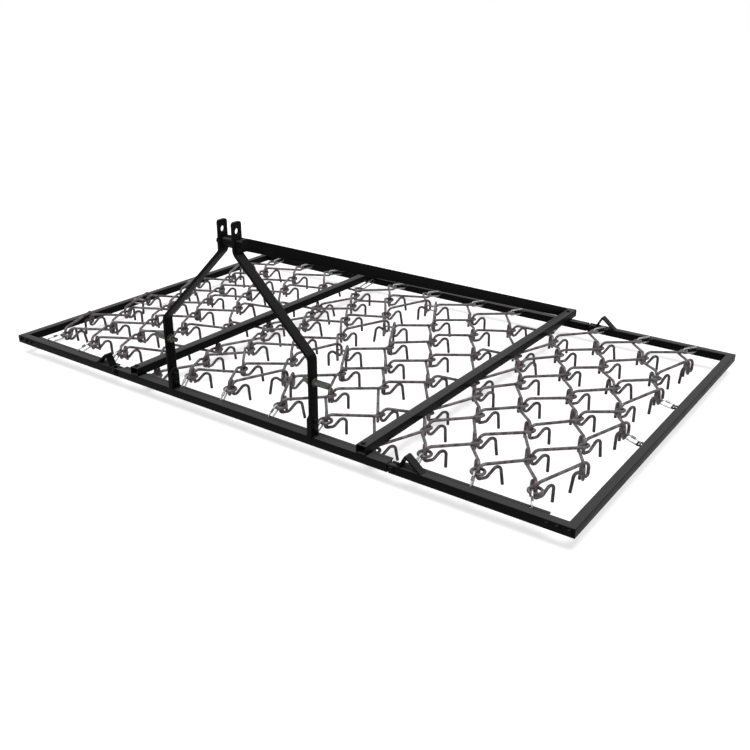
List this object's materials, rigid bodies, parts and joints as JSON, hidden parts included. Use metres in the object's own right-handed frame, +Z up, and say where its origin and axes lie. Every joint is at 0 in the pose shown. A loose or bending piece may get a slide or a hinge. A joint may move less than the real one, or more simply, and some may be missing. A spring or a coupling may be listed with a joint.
{
  "type": "chain harrow",
  "caption": "Folding chain harrow: a tube frame of three hinged sections with a three-point hitch mast, dragging a mat of linked tine rods with downward teeth.",
  "frame": {"origin": "centre of the underside of the centre section's front rail", "axes": "+X to the right along the frame's width as seen from the front looking rearwards, +Y from the front rail towards the rear rail, +Z up"},
  "size_m": [2.4384, 1.5653, 0.7312],
  "materials": {
    "black_paint": "satin black powder coat",
    "rod_steel": "dark bare rod, oiled, teeth nearly black",
    "zinc": "bright zinc plate",
    "pin_steel": "grey plated steel"
  },
  "bodies": {
    "centre_frame": {"centre_front_rail": "black_paint", "centre_rear_rail": "black_paint", "mast_spacer": "black_paint", "mast_top_bolt": "zinc", "centre_mat_strip": "rod_steel", "left_crossbar": "black_paint", "left_mast_bar": "black_paint", "left_mast_bracket": "black_paint", "left_hitch_pin": "pin_steel", "left_hitch_nut": "pin_steel", "left_brace": "black_paint", "left_front_hinge_tongue": "black_paint", "left_rear_hinge_tongue": "black_paint", "left_front_hinge_bolt": "zinc", "left_rear_hinge_bolt": "zinc", "left_ring_1": "rod_steel", "left_ring_2": "rod_steel", "left_ring_3": "rod_steel", "left_inner_mat_strip": "rod_steel", "left_crossbar_mat_strip": "rod_steel", "left_fold_mat_strip": "rod_steel", "right_crossbar": "black_paint", "right_mast_bar": "black_paint", "right_mast_bracket": "black_paint", "right_hitch_pin": "pin_steel", "right_hitch_nut": "pin_steel", "right_brace": "black_paint", "right_front_hinge_tongue": "black_paint", "right_rear_hinge_tongue": "black_paint", "right_front_hinge_bolt": "zinc", "right_rear_hinge_bolt": "zinc", "right_ring_1": "rod_steel", "right_ring_2": "rod_steel", "right_ring_3": "rod_steel", "right_inner_mat_strip": "rod_steel", "right_crossbar_mat_strip": "rod_steel", "right_fold_mat_strip": "rod_steel"},
    "left_wing": {"left_wing_front_rail": "black_paint", "left_wing_rear_rail": "black_paint", "left_wing_side_rail": "black_paint", "left_hanger_strip": "black_paint", "left_front_stop_strap": "black_paint", "left_rear_stop_strap": "black_paint", "left_ring_4": "rod_steel", "left_ring_5": "rod_steel", "left_ring_6": "rod_steel", "left_wing_mat_strip": "rod_steel", "left_outer_mat_strip": "rod_steel"},
    "right_wing": {"right_wing_front_rail": "black_paint", "right_wing_rear_rail": "black_paint", "right_wing_side_rail": "black_paint", "right_hanger_strip": "black_paint", "right_front_stop_strap": "black_paint", "right_rear_stop_strap": "black_paint", "right_ring_4": "rod_steel", "right_ring_5": "rod_steel", "right_ring_6": "rod_steel", "right_wing_mat_strip": "rod_steel", "right_outer_mat_strip": "rod_steel"}
  },
  "joints": [
    {"name": "right_wing_fold", "type": "hinge", "parent": "centre_frame", "child": "right_wing", "pos_m": [0.6283, 0, 0.0127], "axis": [0, -1, 0], "range_deg": [0, 110], "deforming": ["right_fold_mat_strip"]},
    {"name": "left_wing_fold", "type": "hinge", "parent": "centre_frame", "child": "left_wing", "pos_m": [-0.6283, 0, 0.0127], "axis": [0, 1, 0], "range_deg": [0, 110], "deforming": ["left_fold_mat_strip"]}
  ]
}
